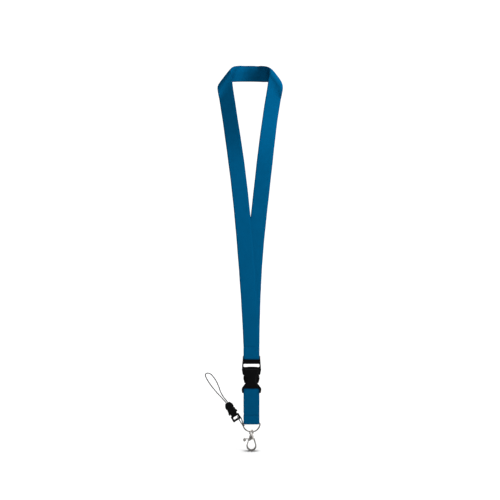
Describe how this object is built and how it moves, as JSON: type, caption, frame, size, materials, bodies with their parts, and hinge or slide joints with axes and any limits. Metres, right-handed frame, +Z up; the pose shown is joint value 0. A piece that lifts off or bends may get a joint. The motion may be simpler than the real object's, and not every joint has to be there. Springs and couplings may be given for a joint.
{
  "type": "lanyard",
  "caption": "Neck lanyard of flat webbing with a side-release buckle, a swivelling trigger hook on a D ring and a detachable phone cord loop.",
  "frame": {"origin": "middle of the inner face of the band that lies behind the neck, where the lanyard is held", "axes": "+Z up, -Y forward (the front of the lanyard), +X to the wearer's left, which is right in a view from the front"},
  "size_m": [0.1013, 0.0197, 0.4984],
  "materials": {
    "webbing": "petrol blue flat-woven polyester webbing",
    "thread": "petrol blue sewing thread",
    "black_plastic": "black moulded acetal, satin",
    "nickel": "nickel-plated zinc and steel wire",
    "steel": "plain steel",
    "black_cord": "black braided nylon cord"
  },
  "bodies": {
    "neck": {"neck_strap": "webbing", "neck_strap_stitching": "thread"},
    "buckle_male": {"buckle_frame": "black_plastic"},
    "prong_left": {"buckle_prong_left": "black_plastic"},
    "prong_right": {"buckle_prong_right": "black_plastic"},
    "buckle_female": {"buckle_housing": "black_plastic"},
    "lower": {"lower_strap": "webbing", "lower_strap_stitching": "thread"},
    "ring": {"d_ring": "nickel", "tether_cord": "black_cord"},
    "eye": {"swivel_eye": "nickel"},
    "hook": {"hook_body": "nickel", "gate_pin": "steel", "gate_spring": "steel"},
    "gate": {"hook_gate": "nickel"},
    "mini_male": {"mini_frame": "black_plastic"},
    "mini_left": {"mini_prong_left": "black_plastic"},
    "mini_right": {"mini_prong_right": "black_plastic"},
    "mini_female": {"mini_housing": "black_plastic", "phone_cord": "black_cord", "phone_cord_knot": "black_cord"}
  },
  "joints": [
    {"name": "buckle_swing", "type": "hinge", "parent": "neck", "child": "buckle_male", "pos_m": [0, -0.015, -0.3674], "axis": [1, 0, 0], "range_deg": [-75, 75]},
    {"name": "prong_right_squeeze", "type": "hinge", "parent": "buckle_male", "child": "prong_right", "pos_m": [0.0076, -0.015, -0.3823], "axis": [0, 1, 0], "range_deg": [0, 8], "stiffness_Nm_per_rad": 0.02},
    {"name": "prong_left_squeeze", "type": "hinge", "parent": "buckle_male", "child": "prong_left", "pos_m": [-0.0076, -0.015, -0.3823], "axis": [0, 1, 0], "range_deg": [-8, 0], "stiffness_Nm_per_rad": 0.02},
    {"name": "buckle_release", "type": "slide", "parent": "buckle_male", "child": "buckle_female", "axis": [0, 0, -1], "range_m": [0, 0.03], "deforming": ["buckle_prong_left", "buckle_prong_right"]},
    {"name": "lower_strap_swing", "type": "hinge", "parent": "buckle_female", "child": "lower", "pos_m": [0, -0.015, -0.4092], "axis": [1, 0, 0], "range_deg": [-50, 50]},
    {"name": "d_ring_swing", "type": "hinge", "parent": "lower", "child": "ring", "pos_m": [0, -0.015, -0.452], "axis": [1, 0, 0], "range_deg": [-90, 90]},
    {"name": "hook_slide", "type": "hinge", "parent": "ring", "child": "eye", "pos_m": [0, -0.015, -0.452], "axis": [0, 1, 0], "range_deg": [-45, 45]},
    {"name": "hook_swivel", "type": "hinge", "parent": "eye", "child": "hook", "pos_m": [0, -0.015, -0.4682], "axis": [0, 0, 1], "continuous": true},
    {"name": "gate_open", "type": "hinge", "parent": "hook", "child": "gate", "pos_m": [-0.0025, -0.015, -0.4731], "axis": [0, 1, 0], "range_deg": [-28, 0], "stiffness_Nm_per_rad": 0.01, "springref_deg": 11.46, "deforming": ["gate_spring"]},
    {"name": "phone_strap_swing", "type": "hinge", "parent": "ring", "child": "mini_male", "pos_m": [-0.0136, -0.015, -0.4489], "axis": [0, 1, 0], "range_deg": [-85, 28], "deforming": ["tether_cord"]},
    {"name": "mini_prong_right_squeeze", "type": "hinge", "parent": "mini_male", "child": "mini_right", "pos_m": [-0.02096, -0.015, -0.43741], "axis": [0, 1, 0], "range_deg": [-10, 0], "stiffness_Nm_per_rad": 0.004},
    {"name": "mini_prong_left_squeeze", "type": "hinge", "parent": "mini_male", "child": "mini_left", "pos_m": [-0.02627, -0.015, -0.4406], "axis": [0, 1, 0], "range_deg": [0, 10], "stiffness_Nm_per_rad": 0.004},
    {"name": "mini_release", "type": "slide", "parent": "mini_male", "child": "mini_female", "axis": [-0.515, 0, 0.8572], "range_m": [0, 0.015], "deforming": ["mini_prong_left", "mini_prong_right"]}
  ],
  "couplings": [
    {"joint": "prong_left_squeeze", "follows": "prong_right_squeeze", "ratio": -1},
    {"joint": "mini_prong_left_squeeze", "follows": "mini_prong_right_squeeze", "ratio": -1}
  ]
}
